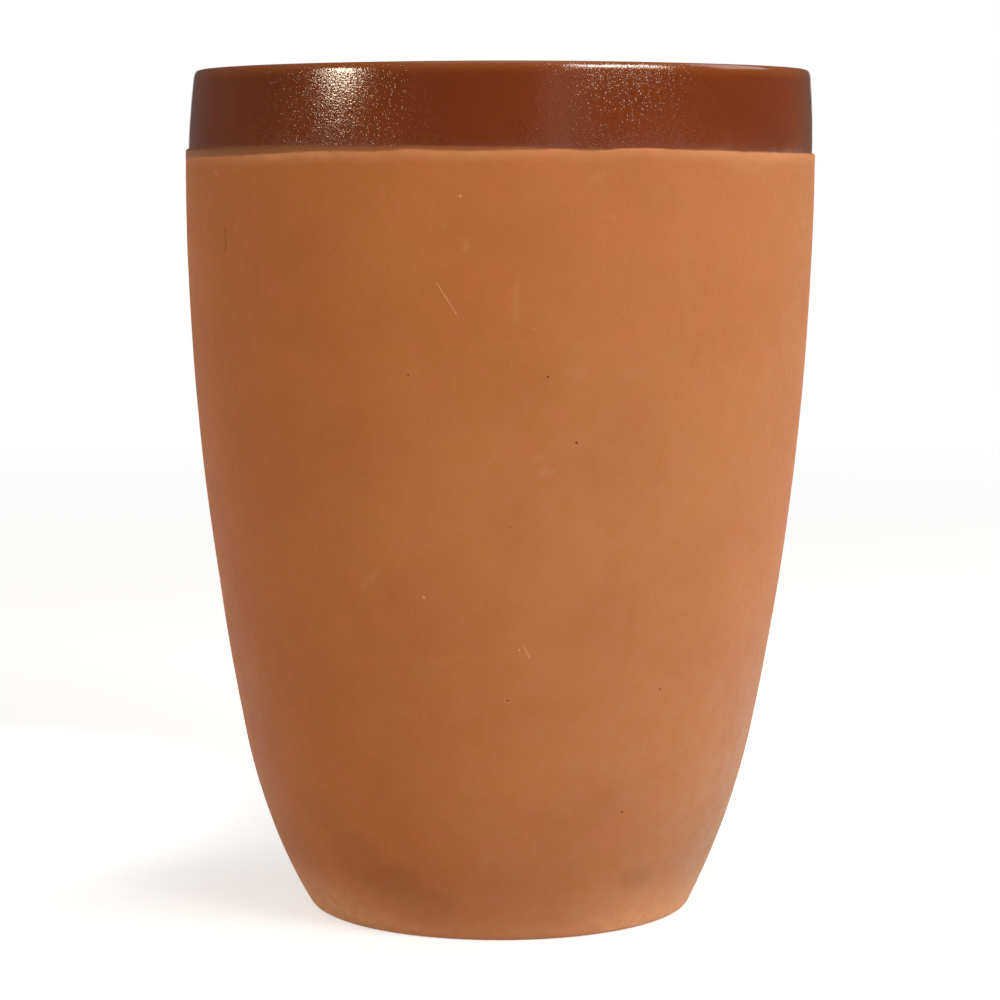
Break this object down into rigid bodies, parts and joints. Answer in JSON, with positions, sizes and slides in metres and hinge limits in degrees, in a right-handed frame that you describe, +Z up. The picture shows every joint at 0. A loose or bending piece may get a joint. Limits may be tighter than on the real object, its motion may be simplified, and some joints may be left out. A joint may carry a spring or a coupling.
{
  "type": "clay cup",
  "caption": "Terracotta tumbler for a cold drink, curving in to a small foot, with a recessed lip under glossy brown glaze and a glazed inside.",
  "frame": {"origin": "middle of the flat standing face, on the axis of turning", "axes": "+Z up along the axis of turning, from the foot to the rim; the cup is round, so X and Y are free"},
  "size_m": [0.0974, 0.0974, 0.13],
  "materials": {
    "terracotta": "matte unglazed fired clay",
    "brown_glaze": "glossy, finely rippled",
    "lining_glaze": "glossy"
  },
  "bodies": {
    "root": {"clay_body": "terracotta", "rim_glaze": "brown_glaze", "lining_glaze": "lining_glaze"}
  },
  "joints": []
}
